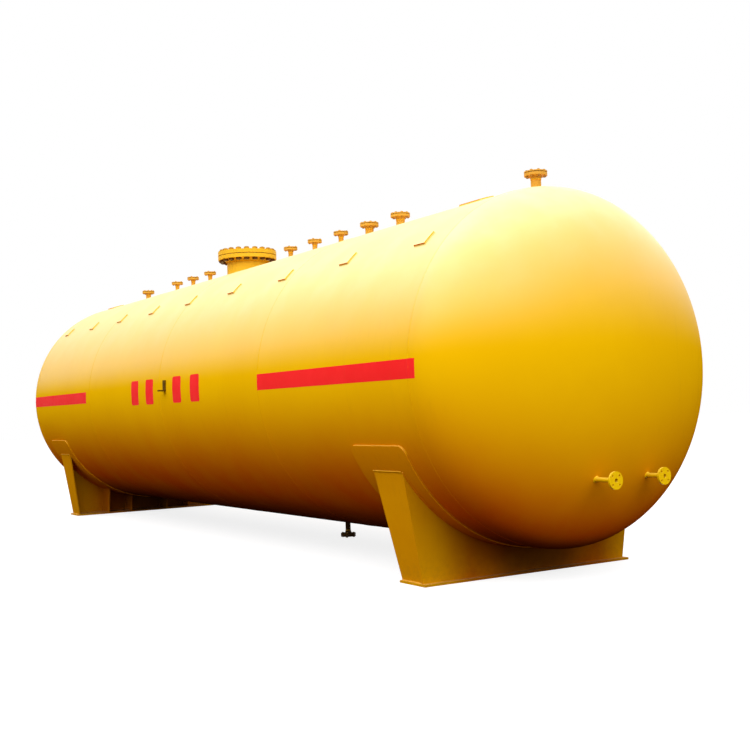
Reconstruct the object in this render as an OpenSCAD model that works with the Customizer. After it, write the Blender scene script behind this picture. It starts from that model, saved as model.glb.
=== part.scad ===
// Horizontal gas storage vessel on two saddles, in millimetres, +Z up.
// The origin is on the ground under the middle of the shell, and +X runs to the instrument end.

/* [Shell] */
// Inside diameter of the shell and the heads
shell_id = 3000; // [2400:10:3600]
// Plate thickness of the shell and the heads
wall = 20; // [12:1:40]
// Length of one rolled course of the shell
course_l = 2610; // [2100:10:3200]

/* [Heads] */
// Straight skirt between a head's knuckle and its seam
skirt_l = 40; // [25:1:80]
// Inside depth of a head beyond its skirt
head_depth = 750; // [600:10:900]

/* [Saddles] */
// Ground to the underside of the shell
saddle_h = 250; // [220:1:380]
// Tangent line of a head to the middle of a base plate
saddle_gap = 625; // [540:5:1260]
// Length of a base plate across the vessel
base_l = 2300; // [2100:10:2600]
// Width of a base plate along the vessel
base_w = 370; // [350:5:460]
// Thickness of a base plate
base_t = 20; // [14:1:32]
// Thickness of the web
web_t = 16; // [10:1:24]
// How far the web stands in from the base plate's outer edge
web_inset = 55; // [10:1:90]
// Thickness of the slanted end plates
end_plate_t = 16; // [10:1:24]
// End of a base plate to the foot of its end plate
end_inset = 22; // [5:1:50]
// Where an end plate meets the wear plate, in degrees below the horizontal
end_top_angle = 32.5; // [28:0.5:38]
// Thickness of the upright ribs
rib_t = 14; // [8:1:22]
// Middle plane to the inner ribs
inner_rib_y = 290; // [240:1:340]
// Middle plane to the outer ribs
outer_rib_y = 655; // [560:1:740]
// How far the ribs' feet stop short of the base plate's inner edge
rib_inset = 10; // [5:1:40]
// How far the inner edge of the ribs leans out, from its foot to the top of the end plates
rib_flare = 135; // [60:5:180]
// Width of a wear plate along the vessel
wear_w = 820; // [760:5:900]
// How far a wear plate reaches past its saddle's web, towards the head
wear_reach = 180; // [120:5:240]
// Thickness of a wear plate
wear_t = 14; // [8:1:22]
// Upper edge of a wear plate, in degrees below the horizontal
wear_top_angle = 23.4; // [18:0.2:27]
// Radius of a wear plate's corners
wear_corner_r = 75; // [30:1:120]

/* [Anchor bolts] */
// Diameter of an anchor hole
anchor_d = 28; // [20:1:40]
// Length of an anchor slot in the sliding saddle
anchor_slot_l = 60; // [50:1:90]
// Anchor spacing along the vessel
anchor_pitch_x = 180; // [140:5:200]
// Anchor spacing across the vessel
anchor_pitch_y = 1860; // [1700:10:1900]
// How far the anchors sit inward of the base plate's middle
anchor_inset = 35; // [20:1:45]

/* [Nozzle places] */
// First nozzle of the row, past the first seam from the instrument end
row_lead = 330; // [290:10:390]
// Last nozzle of the row to the far head's seam
row_tail = 960; // [900:10:1440]
// Tangent line to the single nozzle near the instrument end
end_nozzle_gap = 210; // [160:10:360]
// Shell top to the sealing face of a nozzle
nozzle_rise = 165; // [130:1:260]
// Shell top to the sealing face of the manhole
manhole_rise = 230; // [200:1:320]
// Drain under the shell, from the middle
drain_x = 1690; // [1500:10:2000]
// Head nozzles below the vessel's axis
head_nozzle_drop = 912; // [800:1:1000]
// Front head nozzle, from the middle plane
front_nozzle_y = 213; // [150:1:300]
// Back head nozzle, from the middle plane
back_nozzle_y = 365; // [300:1:450]
// Pole of the head to the front head nozzle's face
front_nozzle_reach = 56; // [10:1:130]
// Pole of the head to the back head nozzle's face
back_nozzle_reach = 10; // [0:1:90]

/* [Manhole] */
// Outside diameter of the manhole neck
manhole_neck_d = 530; // [500:5:560]
// Wall of the manhole neck
manhole_neck_wall = 18; // [10:1:30]
// Thickness of the manhole flange and its cover
manhole_flange_t = 48; // [40:1:60]
// Outside of the manhole neck to its bolt circle
manhole_bolt_gap = 70; // [60:0.5:90]
// Bolt circle to the edge of the manhole flange and its cover
manhole_edge = 42.5; // [32:0.5:60]
// Diameter of a manhole bolt hole
manhole_bolt_d = 42; // [33:1:46]

/* [Nozzles, 80 mm bore] */
// Outside diameter of the pipe
dn80_pipe_d = 89; // [85:1:92]
// Wall of the pipe
dn80_wall = 6; // [4:0.5:10]
// Thickness of the flange
dn80_flange_t = 24; // [18:1:30]
// Outside of the pipe to the bolt circle
dn80_bolt_gap = 35.5; // [32:0.5:40]
// Diameter of a bolt hole
dn80_bolt_d = 18; // [14:1:20]

/* [Nozzles, 65 mm bore] */
// Outside diameter of the pipe
dn65_pipe_d = 76; // [72:1:78]
// Wall of the pipe
dn65_wall = 6; // [4:0.5:9]
// Thickness of the flange
dn65_flange_t = 22; // [16:1:28]
// Outside of the pipe to the bolt circle
dn65_bolt_gap = 34.5; // [31:0.5:40]
// Diameter of a bolt hole
dn65_bolt_d = 18; // [14:1:20]

/* [Nozzles, 50 mm bore] */
// Outside diameter of the pipe
dn50_pipe_d = 57; // [54:1:62]
// Wall of the pipe
dn50_wall = 5; // [3:0.5:8]
// Thickness of the flange
dn50_flange_t = 20; // [14:1:26]
// Outside of the pipe to the bolt circle
dn50_bolt_gap = 34; // [30:0.5:38]
// Diameter of a bolt hole
dn50_bolt_d = 18; // [14:1:20]

/* [Nozzles, 32 mm bore] */
// Outside diameter of the pipe
dn32_pipe_d = 38; // [34:1:44]
// Wall of the pipe
dn32_wall = 3.5; // [2.5:0.5:6]
// Thickness of the flange
dn32_flange_t = 18; // [12:1:24]
// Outside of the pipe to the bolt circle
dn32_bolt_gap = 31; // [28:0.5:36]
// Diameter of a bolt hole
dn32_bolt_d = 18; // [14:1:20]

/* [Flange details] */
// Bolt circle to the edge of a nozzle's flange
flange_edge = 20; // [14:0.5:30]
// Height of a flange's raised face
raised_h = 3; // [2:0.5:5]
// Space between the raised face and the bolt holes
raised_clear = 4; // [2:0.5:8]
// Thickness of a gasket
gasket_t = 3; // [2:0.5:5]
// Thickness of the flat plate that blanks a nozzle
blank_t = 10; // [8:1:30]
// Length of a flange's tapered hub
hub_l = 32; // [20:1:45]
// Growth of a hub's radius at its flange
hub_grow = 10; // [6:1:14]

/* [Shell pads] */
// Middle of the last shoulder pad to the head's seam
pad_end_gap = 340; // [220:10:1200]
// Length of a shoulder pad along the vessel
pad_l = 155; // [100:5:240]
// Width of a shoulder pad round the shell
pad_w = 140; // [90:5:200]
// Thickness of a shoulder pad
pad_t = 16; // [8:1:24]
// Middle of a shoulder pad, in degrees above the horizontal
pad_angle = 45; // [40:0.5:55]
// Tangent line of a head to the middle of a lifting pad
lifting_pad_gap = 560; // [460:10:760]
// Length of a lifting pad along the vessel
lifting_pad_l = 290; // [200:5:360]
// Width of a lifting pad round the shell
lifting_pad_w = 160; // [120:5:240]
// Thickness of a lifting pad
lifting_pad_t = 14; // [10:1:30]
// Middle of a lifting pad, in degrees above the horizontal
lifting_pad_angle = 75.5; // [70:0.5:79]

/* [Side brackets] */
// Place of the brackets along the vessel
bracket_x = 195; // [100:5:300]
// Width of a bracket along the vessel
bracket_w = 60; // [40:1:100]
// Height of a bracket's leg
bracket_h = 128; // [90:1:170]
// Reach of a bracket's foot
bracket_reach = 80; // [60:1:170]
// Thickness of a bracket
bracket_t = 16; // [6:1:20]
// Underside of the foot below the vessel's axis
bracket_drop = 9; // [0:1:30]

/* [Hidden] */
$fn = 96;
vessel_fn = 360;
dish_steps = 60;
over = 5;
seat_gap = 0.3;
end_run_on_share = 4;
course_count = 4;
pad_count = 9;
manhole_step = 6;
manhole_bolts = 20;
row_steps = [0, 1, 2, 3, 4, 8, 9, 10, 12];
row_spaces = 12;
paint = "#e8b400";
dark_steel = "#4a3c1c";
gasket_grey = "#3a3a3a";

shell_ri = shell_id / 2;
shell_ro = shell_ri + wall;
shell_l = course_count * course_l;
tangent_x = shell_l / 2 + skirt_l;
pole_x = tangent_x + head_depth + wall;
axis_z = shell_ro + saddle_h;

saddle_x = tangent_x - saddle_gap;
lifting_pad_x = tangent_x - lifting_pad_gap;
pad_pitch = (shell_l - 2 * pad_end_gap) / (pad_count - 1);

seat_r = shell_ro + seat_gap;
wear_ro = seat_r + wear_t;
web_seat_r = wear_ro + seat_gap;
web_x = saddle_x + base_w / 2 - web_inset - web_t;
rib_foot_x = saddle_x - base_w / 2 + rib_inset;
ground = -axis_z;
foot_z = ground + base_t;
end_foot_y = base_l / 2 - end_inset;
end_top_y = web_seat_r * cos(end_top_angle);
end_top_z = -web_seat_r * sin(end_top_angle);
end_slope = atan2(end_top_z - foot_z, end_top_y - end_foot_y);
end_plate_across = end_plate_t / sin(end_slope);

end_nozzle_x = tangent_x - end_nozzle_gap;
row_start_x = course_l + row_lead;
row_pitch = (row_start_x + shell_l / 2 - row_tail) / row_spaces;
row_x = [for (step = row_steps) row_start_x - step * row_pitch];
manhole_x = row_start_x - manhole_step * row_pitch;

// A size is [pipe, wall, bolt gap, flange edge, flange thickness, bolt hole, bolts]
dn80 = [dn80_pipe_d, dn80_wall, dn80_bolt_gap, flange_edge, dn80_flange_t, dn80_bolt_d, 8];
dn65 = [dn65_pipe_d, dn65_wall, dn65_bolt_gap, flange_edge, dn65_flange_t, dn65_bolt_d, 8];
dn50 = [dn50_pipe_d, dn50_wall, dn50_bolt_gap, flange_edge, dn50_flange_t, dn50_bolt_d, 4];
dn32 = [dn32_pipe_d, dn32_wall, dn32_bolt_gap, flange_edge, dn32_flange_t, dn32_bolt_d, 4];
manway = [manhole_neck_d, manhole_neck_wall, manhole_bolt_gap, manhole_edge,
          manhole_flange_t, manhole_bolt_d, manhole_bolts];
function pipe_r(size) = size[0] / 2;
function bore_r(size) = size[0] / 2 - size[1];
function bolt_circle_r(size) = pipe_r(size) + size[2];
function flange_r(size) = bolt_circle_r(size) + size[3];
function flange_t(size) = size[4];
function bolt_r(size) = size[5] / 2;
function bolts(size) = size[6];
function raised_r(size) = bolt_circle_r(size) - bolt_r(size) - raised_clear;

// Top nozzles as [place, size], counted from the instrument end
nozzles = [
    [end_nozzle_x, dn80],
    [row_x[0], dn80], [row_x[1], dn80],
    [row_x[2], dn50], [row_x[3], dn50], [row_x[4], dn50],
    [row_x[5], dn50], [row_x[6], dn50], [row_x[7], dn50],
    [row_x[8], dn65]
];

// Every round opening in the shell, as [place, size, rotation about X]
shell_openings = concat(
    [for (item = nozzles) [item[0], item[1], 0]],
    [[manhole_x, manway, 0], [drain_x, dn50, 180]]
);

// Head nozzles as [y, distance of the face from the middle]
front_nozzle = [-front_nozzle_y, pole_x + front_nozzle_reach];
back_nozzle = [back_nozzle_y, pole_x + back_nozzle_reach];

// Extrudes a cross-section, drawn as y and z about the vessel's axis, along X
module along_x(start, length) {
    translate([start, 0, axis_z]) rotate([90, 0, 90]) linear_extrude(length) children();
}

// Places children at the near end, or mirrored at the far end
module at_end(near) {
    if (near) children();
    else mirror([1, 0, 0]) children();
}

// Stands children, drawn along Z from the vessel's axis, on the top or on the bottom of the shell
module on_shell(x, turn) {
    translate([x, 0, axis_z]) rotate([turn, 0, 0]) children();
}

// Part of a ring between two angles less than half a turn apart
module band(radius, thickness, from, to) {
    outer = radius + thickness;
    half = (to - from) / 2;
    tip = outer / cos(half / 2) + over;
    intersection() {
        difference() {
            circle(outer, $fn = vessel_fn);
            circle(radius, $fn = vessel_fn);
        }
        polygon([
            [0, 0],
            for (step = [0 : 2]) [tip * cos(from + step * half), tip * sin(from + step * half)]
        ]);
    }
}

// Bolt holes of a flange, along Z
module bolt_holes(size, low, high) {
    for (i = [0 : bolts(size) - 1])
        rotate(360 * (i + 0.5) / bolts(size))
            translate([bolt_circle_r(size), 0, low - over])
                cylinder(h = high - low + 2 * over, r = bolt_r(size));
}

// Half-section of a pipe with a tapered hub and a raised-face flange, from its tail to its sealing face
module neck_section(size, tail, face) {
    back = face - raised_h - flange_t(size);
    polygon([
        [bore_r(size), tail],
        [pipe_r(size), tail],
        [pipe_r(size), back - hub_l],
        [pipe_r(size) + hub_grow, back],
        [flange_r(size), back],
        [flange_r(size), face - raised_h],
        [raised_r(size), face - raised_h],
        [raised_r(size), face],
        [bore_r(size), face]
    ]);
}

// Set-in neck on the shell, trimmed flush with the inside of the shell
module shell_neck(size, rise) {
    face = shell_ro + rise;
    difference() {
        rotate_extrude() neck_section(size, shell_ri - pipe_r(size), face);
        bolt_holes(size, face - raised_h - flange_t(size), face);
        rotate([0, 90, 0])
            cylinder(h = 2 * pipe_r(size) + 2 * over, r = shell_ri, center = true, $fn = vessel_fn);
    }
}

// Flat plate that blanks a nozzle
module blank_plate(size, rise) {
    face = shell_ro + rise + gasket_t;
    translate([0, 0, face]) difference() {
        cylinder(h = blank_t, r = flange_r(size));
        bolt_holes(size, 0, blank_t);
    }
}

// Blind flange with a raised face that closes the manhole
module blind_cover(size, rise) {
    face = shell_ro + rise + gasket_t;
    top = face + raised_h + flange_t(size);
    difference() {
        rotate_extrude() polygon([
            [0, face],
            [raised_r(size), face],
            [raised_r(size), face + raised_h],
            [flange_r(size), face + raised_h],
            [flange_r(size), top],
            [0, top]
        ]);
        bolt_holes(size, face, top);
    }
}

module gasket(size, rise) {
    translate([0, 0, shell_ro + rise]) difference() {
        cylinder(h = gasket_t, r = raised_r(size));
        translate([0, 0, -over]) cylinder(h = gasket_t + 2 * over, r = bore_r(size));
    }
}

module shell_course(index) {
    low = shell_l / 2 - (index + 1) * course_l;
    high = low + course_l;
    color(paint) difference() {
        along_x(low, course_l) difference() {
            circle(shell_ro, $fn = vessel_fn);
            circle(shell_ri, $fn = vessel_fn);
        }
        for (opening = shell_openings) {
            radius = pipe_r(opening[1]) + seat_gap;
            if (opening[0] + radius > low && opening[0] - radius < high)
                on_shell(opening[0], opening[2]) cylinder(h = shell_ro + over, r = radius);
        }
    }
}

// Point of an ellipse where its normal leans by the given angle from the short axis
function dish_point(radius, depth, lean) =
    [radius ^ 2 * sin(lean), depth ^ 2 * cos(lean)] / norm([radius * sin(lean), depth * cos(lean)]);

// One quarter of a dish, from its pole to its rim, above the skirt
function dish_curve(radius, depth) = [
    for (step = [0 : dish_steps]) dish_point(radius, depth, 90 * step / dish_steps) + [0, skirt_l]
];

// Revolves a half-section about the vessel's axis, beyond the near seam
module on_seam() {
    translate([shell_l / 2, 0, axis_z]) rotate([0, 90, 0]) rotate_extrude($fn = vessel_fn) children();
}

module head_inside() {
    on_seam() polygon(concat([[0, 0]], dish_curve(shell_ri, head_depth), [[shell_ri, 0]]));
}

// Ellipsoidal dish with a straight skirt
module head_shell() {
    inside = dish_curve(shell_ri, head_depth);
    on_seam() polygon(concat(
        dish_curve(shell_ro, head_depth + wall),
        [[shell_ro, 0], [shell_ri, 0]],
        [for (step = [dish_steps : -1 : 0]) inside[step]]
    ));
}

module near_head() {
    color(paint) difference() {
        head_shell();
        for (place = [front_nozzle, back_nozzle])
            translate([shell_l / 2, place[0], axis_z - head_nozzle_drop]) rotate([0, 90, 0])
                cylinder(h = place[1] - shell_l / 2, r = pipe_r(dn32) + seat_gap);
    }
}

module far_head() {
    color(paint) at_end(false) head_shell();
}

// Pipe with a flat ring flange on the near head, trimmed flush with the inside of the head
module head_nozzle(place) {
    tail = shell_l / 2 + over;
    color(paint) difference() {
        translate([0, place[0], axis_z - head_nozzle_drop]) rotate([0, 90, 0]) difference() {
            rotate_extrude() polygon([
                [bore_r(dn32), tail],
                [pipe_r(dn32), tail],
                [pipe_r(dn32), place[1] - flange_t(dn32)],
                [flange_r(dn32), place[1] - flange_t(dn32)],
                [flange_r(dn32), place[1]],
                [bore_r(dn32), place[1]]
            ]);
            bolt_holes(dn32, place[1] - flange_t(dn32), place[1]);
        }
        head_inside();
    }
}

module top_nozzle(index) {
    color(paint) on_shell(nozzles[index][0], 0) shell_neck(nozzles[index][1], nozzle_rise);
}

module nozzle_covers(size) {
    color(paint) for (item = nozzles)
        if (item[1] == size) on_shell(item[0], 0) blank_plate(size, nozzle_rise);
}

module manhole_neck() {
    color(paint) on_shell(manhole_x, 0) shell_neck(manway, manhole_rise);
}

module manhole_cover() {
    color(paint) on_shell(manhole_x, 0) blind_cover(manway, manhole_rise);
}

module drain_nozzle() {
    color(paint) on_shell(drain_x, 180) shell_neck(dn50, nozzle_rise);
}

module drain_cover() {
    color(paint) on_shell(drain_x, 180) blank_plate(dn50, nozzle_rise);
}

module gaskets() {
    color(gasket_grey) {
        for (item = nozzles) on_shell(item[0], 0) gasket(item[1], nozzle_rise);
        on_shell(manhole_x, 0) gasket(manway, manhole_rise);
        on_shell(drain_x, 180) gasket(dn50, nozzle_rise);
    }
}

// Side outline of a wear plate: rounded upper corners, open below the vessel
module wear_outline() {
    low = web_x + web_t + wear_reach - wear_w;
    top = -wear_ro * sin(wear_top_angle);
    deep = wear_ro + over;
    for (x = [low + wear_corner_r, low + wear_w - wear_corner_r])
        translate([x, top - wear_corner_r]) circle(wear_corner_r);
    translate([low + wear_corner_r, -deep]) square([wear_w - 2 * wear_corner_r, deep + top]);
    translate([low, -deep]) square([wear_w, deep + top - wear_corner_r]);
}

module wear_plate(near) {
    low = web_x + web_t + wear_reach - wear_w;
    color(paint) at_end(near) intersection() {
        along_x(low, wear_w) difference() {
            circle(wear_ro, $fn = vessel_fn);
            circle(seat_r, $fn = vessel_fn);
        }
        translate([0, wear_ro + over, axis_z]) rotate([90, 0, 0])
            linear_extrude(2 * (wear_ro + over)) wear_outline();
    }
}

// Outline inside both end plates' outer faces, less an inset, run on past the wear plate to be trimmed by it
module saddle_outline(inset) {
    run_on = end_run_on_share * end_plate_t;
    foot = end_foot_y - inset;
    top = end_top_y - inset;
    reach = top + run_on * cos(end_slope);
    rise = end_top_z + run_on * sin(end_slope);
    polygon([[-foot, foot_z], [foot, foot_z], [reach, rise], [-reach, rise]]);
}

module saddle_web(near) {
    color(paint) at_end(near) along_x(web_x, web_t) difference() {
        saddle_outline(0);
        circle(web_seat_r, $fn = vessel_fn);
    }
}

// Inner edge of the ribs at a height about the vessel's axis
function rib_edge_x(z) = rib_foot_x - rib_flare * (z - foot_z) / (end_top_z - foot_z);

// Two slanted end plates and four upright ribs, wider at the top, from the base up to the wear plate
module saddle_ribs(near) {
    color(paint) at_end(near) intersection() {
        along_x(rib_edge_x(0), web_x - rib_edge_x(0)) difference() {
            union() {
                difference() {
                    saddle_outline(0);
                    saddle_outline(end_plate_across);
                }
                for (y = [-outer_rib_y, -inner_rib_y, inner_rib_y, outer_rib_y])
                    translate([y - rib_t / 2, foot_z]) square([rib_t, -foot_z]);
            }
            circle(web_seat_r, $fn = vessel_fn);
        }
        translate([0, web_seat_r, axis_z]) rotate([90, 0, 0]) linear_extrude(2 * web_seat_r)
            polygon([[rib_foot_x, foot_z], [web_x, foot_z], [web_x, 0], [rib_edge_x(0), 0]]);
    }
}

module anchor_hole(x, y, slot) {
    run = slot ? anchor_slot_l - anchor_d : 0;
    translate([x, y, -over]) linear_extrude(base_t + 2 * over) {
        for (side = [-run / 2, run / 2]) translate([side, 0]) circle(d = anchor_d);
        if (slot) square([run, anchor_d], center = true);
    }
}

module base_plate(near) {
    color(paint) at_end(near) difference() {
        translate([saddle_x - base_w / 2, -base_l / 2, 0]) cube([base_w, base_l, base_t]);
        for (x = [-anchor_pitch_x / 2, anchor_pitch_x / 2], y = [-anchor_pitch_y / 2, anchor_pitch_y / 2])
            anchor_hole(saddle_x - anchor_inset + x, y, !near);
    }
}

// Curved plate on the shell, from its middle's angle and its width round the shell
module shell_pad(x, length, width, thickness, angle) {
    spread = width / seat_r * 180 / PI;
    along_x(x - length / 2, length) band(seat_r, thickness, angle - spread / 2, angle + spread / 2);
}

module shoulder_pads() {
    color(paint) for (i = [0 : pad_count - 1], angle = [pad_angle, 180 - pad_angle])
        shell_pad((i - (pad_count - 1) / 2) * pad_pitch, pad_l, pad_w, pad_t, angle);
}

module lifting_pads() {
    turn = lifting_pad_angle;
    color(paint) for (x = [-lifting_pad_x, lifting_pad_x], angle = [turn, 180 - turn])
        shell_pad(x, lifting_pad_l, lifting_pad_w, lifting_pad_t, angle);
}

// Angle piece welded to the shell at its widest, on the front and on the back
module side_brackets() {
    color(dark_steel) for (turn = [0, 1]) mirror([0, turn, 0])
        along_x(bracket_x - bracket_w / 2, bracket_w) difference() {
            translate([-shell_ro - bracket_reach, -bracket_drop]) union() {
                square([bracket_reach, bracket_t]);
                translate([bracket_reach - bracket_t, 0]) square([2 * bracket_t, bracket_h]);
            }
            circle(seat_r, $fn = vessel_fn);
        }
}

shell_course(0);  // shell_course_1
shell_course(1);  // shell_course_2
shell_course(2);  // shell_course_3
shell_course(3);  // shell_course_4
near_head();
far_head();
top_nozzle(0);  // nozzle_1
top_nozzle(1);  // nozzle_2
top_nozzle(2);  // nozzle_3
top_nozzle(3);  // nozzle_4
top_nozzle(4);  // nozzle_5
top_nozzle(5);  // nozzle_6
top_nozzle(6);  // nozzle_7
top_nozzle(7);  // nozzle_8
top_nozzle(8);  // nozzle_9
top_nozzle(9);  // nozzle_10
nozzle_covers(dn80);  // large_nozzle_covers
nozzle_covers(dn65);  // medium_nozzle_cover
nozzle_covers(dn50);  // small_nozzle_covers
manhole_neck();
manhole_cover();
drain_nozzle();
drain_cover();
gaskets();
head_nozzle(front_nozzle);  // front_head_nozzle
head_nozzle(back_nozzle);  // back_head_nozzle
wear_plate(true);  // near_wear_plate
saddle_web(true);  // near_saddle_web
saddle_ribs(true);  // near_saddle_ribs
base_plate(true);  // near_base_plate
wear_plate(false);  // far_wear_plate
saddle_web(false);  // far_saddle_web
saddle_ribs(false);  // far_saddle_ribs
base_plate(false);  // far_base_plate
shoulder_pads();
lifting_pads();
side_brackets();
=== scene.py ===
# Horizontal gas storage tank: paint, welds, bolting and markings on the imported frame, in metres.
import math
import random

import bmesh
import bpy
from mathutils import Matrix, Vector


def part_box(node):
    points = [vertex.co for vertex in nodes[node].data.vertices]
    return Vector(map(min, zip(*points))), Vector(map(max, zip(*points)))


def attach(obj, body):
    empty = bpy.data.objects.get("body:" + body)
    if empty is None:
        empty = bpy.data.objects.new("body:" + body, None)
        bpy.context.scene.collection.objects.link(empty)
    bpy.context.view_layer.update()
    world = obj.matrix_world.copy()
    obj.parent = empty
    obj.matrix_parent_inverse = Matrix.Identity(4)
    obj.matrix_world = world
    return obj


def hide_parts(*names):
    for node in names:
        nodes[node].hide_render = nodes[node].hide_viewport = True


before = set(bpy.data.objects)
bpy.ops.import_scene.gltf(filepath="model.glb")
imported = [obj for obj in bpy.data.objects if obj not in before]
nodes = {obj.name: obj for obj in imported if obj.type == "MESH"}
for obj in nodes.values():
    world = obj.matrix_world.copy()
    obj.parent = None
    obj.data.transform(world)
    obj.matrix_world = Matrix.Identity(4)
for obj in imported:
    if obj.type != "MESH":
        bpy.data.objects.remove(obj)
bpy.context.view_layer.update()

rng = random.Random(41)
UP = Vector((0, 0, 1))

# Vessel, read from the frame, but for the skirt of its heads and its wall
COURSES = ["shell_course_%d" % number for number in (1, 2, 3, 4)]
course_low, course_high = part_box(COURSES[0])
head_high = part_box("near_head")[1]
SHELL_R = (course_high.z - course_low.z) / 2
AXIS_Z = (course_high.z + course_low.z) / 2
SEAMS = sorted({round(corner.x, 4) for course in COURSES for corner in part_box(course)})
SKIRT = 0.040
WALL = 0.020
TANGENT_X = SEAMS[-1] + SKIRT
HEAD_DEPTH = head_high.x - TANGENT_X

# Weld beads: sizes of the butt seams and fillets, steps along them, shares for ripple, crown and root
SEAM_HALF_W = 0.013
SEAM_H = 0.0022
NOZZLE_SEAM_HALF_W = 0.006
MANHOLE_SEAM_HALF_W = 0.010
PIPE_SEAM_FLATNESS = 3
NECK_LEG = 0.014
HEAD_PIPE_LEG = 0.009
RING_FLANGE_LEG = 0.006
PLATE_LEG = 0.008
PAD_LEG = 0.0064
SADDLE_LEG = 0.008
BEAD_STEP = 0.016
NECK_STEP = 0.010
HEAD_PIPE_STEP = 0.006
PAD_STEP = 0.020
BEAD_RIPPLE = 0.07
FILLET_CROWN = 0.18
FILLET_SINK = 0.25

# Saddle plates
WEAR_CORNER_R = 0.075
WEAR_CORNER_ARCS = 8
RIB_PLACES = (-0.655, -0.290, 0.290, 0.655)
RIB_T = 0.014
RIB_INSET = 0.010
END_INSET = 0.022
END_PLATE_T = 0.016
END_WELD_SHARE = 0.97

# Red markings: bands and blocks at the height of the axis, with the blocks' places along the vessel
BAND_LOW = -0.080
BAND_HIGH = 0.076
BAND_ENDS = ((2.605, 5.310), (-5.330, -2.750))
BLOCK_PLACES = (-0.810, -0.312, 0.544, 1.056)
BLOCK_W = 0.250
BLOCK_H = 0.300
BLOCK_CORNER_R = 0.030
MARKING_T = 0.0005
MARKING_STEP = 0.012
MARKING_ROWS = 10
MARKING_SEAM_RISE = SEAM_H * 1.08
MARKING_ARCS = 6

# Camera of the picture: place, heading, tilt and roll in degrees, focal length on a 36 mm sensor
CAMERA_PLACE = Vector((12.183, -6.228, 1.447))
CAMERA_YAW = 147.64
CAMERA_PITCH = 1.91
CAMERA_ROLL = -1.91
CAMERA_LENS = 52.4
SENSOR_W = 36.0


# Node helpers

def put(tree, kind, settings=None, inputs=None):
    """Adds a node, sets its options, and sets or links its inputs."""
    node = tree.nodes.new(kind)
    for key, value in (settings or {}).items():
        setattr(node, key, value)
    for key, value in (inputs or {}).items():
        if isinstance(value, bpy.types.NodeSocket):
            tree.links.new(value, node.inputs[key])
        else:
            node.inputs[key].default_value = value
    return node


def math_node(tree, operation, *values, clamp=False):
    node = put(tree, "ShaderNodeMath", {"operation": operation, "use_clamp": clamp}, dict(enumerate(values)))
    return node.outputs[0]


def ramp(tree, value, low, high, to_low=0.0, to_high=1.0):
    """Smooth step of a value from one range to another."""
    return put(tree, "ShaderNodeMapRange", {"interpolation_type": "SMOOTHSTEP"},
               {"Value": value, 1: low, 2: high, 3: to_low, 4: to_high}).outputs[0]


def place_on(tree):
    """Place on the piece, in metres."""
    return tree.nodes.new("ShaderNodeTexCoord").outputs["Object"]


def along_axis(tree, vector, axis):
    return put(tree, "ShaderNodeSeparateXYZ", None, {0: vector}).outputs[axis]


def facing_up(tree):
    """One on faces that look up, minus one on faces that look down."""
    return along_axis(tree, tree.nodes.new("ShaderNodeNewGeometry").outputs["Normal"], "Z")


def noise(tree, vector, scale, detail=3.0, roughness=0.55):
    return put(tree, "ShaderNodeTexNoise", None,
               {"Vector": vector, "Scale": scale, "Detail": detail, "Roughness": roughness}).outputs[0]


def mix_colour(tree, mask, first, second, blend="MIX"):
    return put(tree, "ShaderNodeMix", {"data_type": "RGBA", "blend_type": blend},
               {0: mask, 6: first, 7: second}).outputs[2]


def effect_group(name, inputs, outputs):
    """Empty shader group with float sockets. Returns its tree, its input sockets and its output node."""
    tree = bpy.data.node_groups.new(name, "ShaderNodeTree")
    for label, value in inputs.items():
        tree.interface.new_socket(label, in_out="INPUT", socket_type="NodeSocketFloat").default_value = value
    for label in outputs:
        tree.interface.new_socket(label, in_out="OUTPUT", socket_type="NodeSocketFloat")
    return tree, tree.nodes.new("NodeGroupInput").outputs, tree.nodes.new("NodeGroupOutput")


# Effects shared by the finishes

def make_paint_unevenness():
    """Broad patches, small blotches, fine orange peel of sprayed paint and slow waves of rolled plate."""
    tree, given, result = effect_group("paint_unevenness", {"Patch Size": 1.2, "Peel Size": 0.006},
                                       ("Patches", "Blotches", "Peel", "Waves"))
    place = place_on(tree)
    patch_scale = math_node(tree, "DIVIDE", 1.0, given["Patch Size"])
    blotch_scale = math_node(tree, "MULTIPLY", patch_scale, 7.0)
    peel_scale = math_node(tree, "DIVIDE", 1.0, given["Peel Size"])
    links = tree.links
    links.new(ramp(tree, noise(tree, place, patch_scale), 0.3, 0.7), result.inputs["Patches"])
    links.new(ramp(tree, noise(tree, place, blotch_scale, 5.0), 0.35, 0.7), result.inputs["Blotches"])
    links.new(noise(tree, place, peel_scale, 2.0), result.inputs["Peel"])
    wave_scale = math_node(tree, "MULTIPLY", patch_scale, 1.7)
    links.new(noise(tree, place, wave_scale, 1.0), result.inputs["Waves"])
    return tree


def make_dust_and_painted_highlight():
    """Dust on faces that look up, thicker in patches; its pale tone also paints the highlight there."""
    tree, given, result = effect_group("dust_and_painted_highlight", {"Amount": 0.2}, ("Mask",))
    patches = ramp(tree, noise(tree, place_on(tree), 2.6, 6.0), 0.35, 0.75, 0.8, 1.0)
    mask = math_node(tree, "MULTIPLY", ramp(tree, facing_up(tree), 0.05, 0.75), patches)
    tree.links.new(math_node(tree, "MULTIPLY", mask, given["Amount"]), result.inputs["Mask"])
    return tree


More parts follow.
